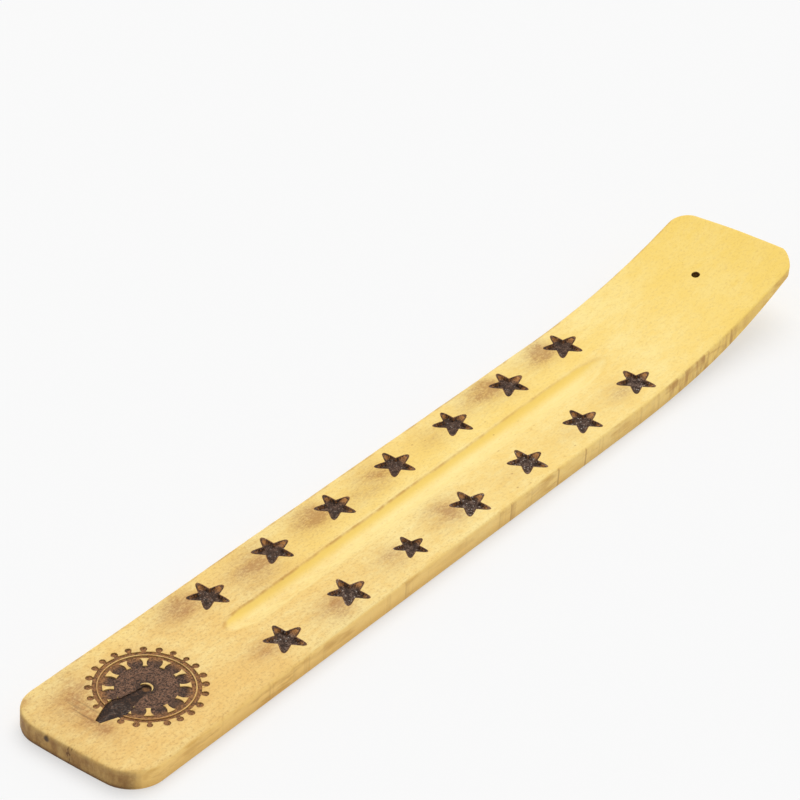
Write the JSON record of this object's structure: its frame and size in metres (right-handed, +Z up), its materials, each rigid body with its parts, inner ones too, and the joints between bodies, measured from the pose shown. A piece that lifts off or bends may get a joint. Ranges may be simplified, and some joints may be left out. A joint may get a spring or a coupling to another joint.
{
  "type": "incense stick holder",
  "caption": "Long flat wooden incense stick holder with a bent-up end, an ash groove, an angled stick hole, rows of burned-in stars and a burned-in round medallion.",
  "frame": {"origin": "middle of the board's footprint, on the plane of its flat underside", "axes": "+X along the board towards the raised end with the stick hole, +Y to the left edge seen from the plain end, +Z up"},
  "size_m": [0.266, 0.0386, 0.0173],
  "materials": {
    "pale_wood": "sanded, bare",
    "charred_wood": "burnt, matt"
  },
  "bodies": {
    "root": {"board": "pale_wood", "star_char_left_1": "charred_wood", "star_char_left_2": "charred_wood", "star_char_left_3": "charred_wood", "star_char_left_4": "charred_wood", "star_char_left_5": "charred_wood", "star_char_left_6": "charred_wood", "star_char_left_7": "charred_wood", "star_char_right_1": "charred_wood", "star_char_right_2": "charred_wood", "star_char_right_3": "charred_wood", "star_char_right_4": "charred_wood", "star_char_right_5": "charred_wood", "star_char_right_6": "charred_wood", "star_char_right_7": "charred_wood", "medallion_rim_char": "charred_wood", "medallion_flower_char": "charred_wood", "medallion_leaf_char": "charred_wood"}
  },
  "joints": []
}
